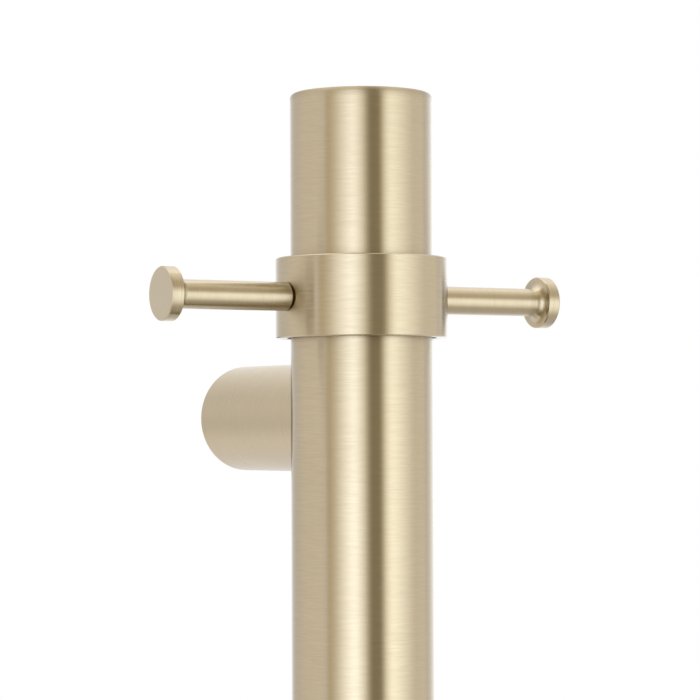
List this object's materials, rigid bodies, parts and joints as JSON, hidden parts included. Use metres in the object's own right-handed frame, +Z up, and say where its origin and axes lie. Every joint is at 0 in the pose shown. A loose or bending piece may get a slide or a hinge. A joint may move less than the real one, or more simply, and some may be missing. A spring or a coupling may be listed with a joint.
{
  "type": "towel warmer rack",
  "caption": "Wall-mounted electric towel warmer: a heated round upright on two round standoffs, with a sliding collar that carries headed pegs.",
  "frame": {"origin": "on the wall plane, midway between the two standoffs, at the centre of the wall screw pattern", "axes": "+Z up along the post, +X to the right as seen from the room, +Y into the wall"},
  "size_m": [0.1384, 0.1016, 0.9],
  "materials": {
    "brushed_brass": "fine circular brushing under a satin coat",
    "zinc_steel": "plain turned, zinc plated",
    "sheath_steel": "drawn, dull",
    "terminal_brass": "bright turned",
    "black_liner": "matte moulded",
    "black_rubber": "matte",
    "red_silicone": "matte",
    "white_nylon": "moulded",
    "brown_insulation": "smooth",
    "blue_insulation": "smooth",
    "green_insulation": "smooth, striped"
  },
  "bodies": {
    "root": {"post_tube": "brushed_brass", "top_cap": "brushed_brass", "bottom_cap": "brushed_brass", "top_cap_seal": "black_rubber", "bottom_cap_seal": "black_rubber", "upper_standoff": "brushed_brass", "lower_standoff": "brushed_brass", "upper_wall_plate": "zinc_steel", "lower_wall_plate": "zinc_steel", "cable_grommet": "black_rubber", "standoff_grub_screws": "zinc_steel", "upper_nut_block": "zinc_steel", "lower_nut_block": "zinc_steel", "upper_post_bolt": "zinc_steel", "lower_hollow_bolt": "zinc_steel", "upper_bolt_washer": "zinc_steel", "lower_bolt_washer": "zinc_steel", "lead_bush": "white_nylon", "heating_element": "sheath_steel", "element_end_seals": "red_silicone", "element_pins": "zinc_steel", "element_spacer_1": "red_silicone", "element_spacer_2": "red_silicone", "element_spacer_3": "red_silicone", "element_spacer_4": "red_silicone", "thermal_cutout": "white_nylon", "crimp_joints": "zinc_steel", "live_lead": "brown_insulation", "neutral_lead": "blue_insulation", "earth_lead": "green_insulation", "earth_lug": "zinc_steel", "earth_screw": "zinc_steel", "terminal_carrier": "white_nylon", "terminal_block": "white_nylon", "terminal_tubes": "terminal_brass", "terminal_screws": "zinc_steel", "carrier_screws": "zinc_steel"},
    "liner": {"collar_liner": "black_liner"},
    "collar": {"peg_collar": "brushed_brass", "collar_grub_screw": "zinc_steel", "left_peg": "brushed_brass", "right_peg": "brushed_brass", "peg_studs": "zinc_steel"}
  },
  "joints": [
    {"name": "collar_slide", "type": "slide", "parent": "root", "child": "liner", "axis": [0, 0, 1], "range_m": [-0.0065, 0.05]},
    {"name": "collar_turn", "type": "hinge", "parent": "liner", "child": "collar", "pos_m": [0, -0.075, 0.3867], "axis": [0, 0, 1], "range_deg": [-70, 70]}
  ]
}
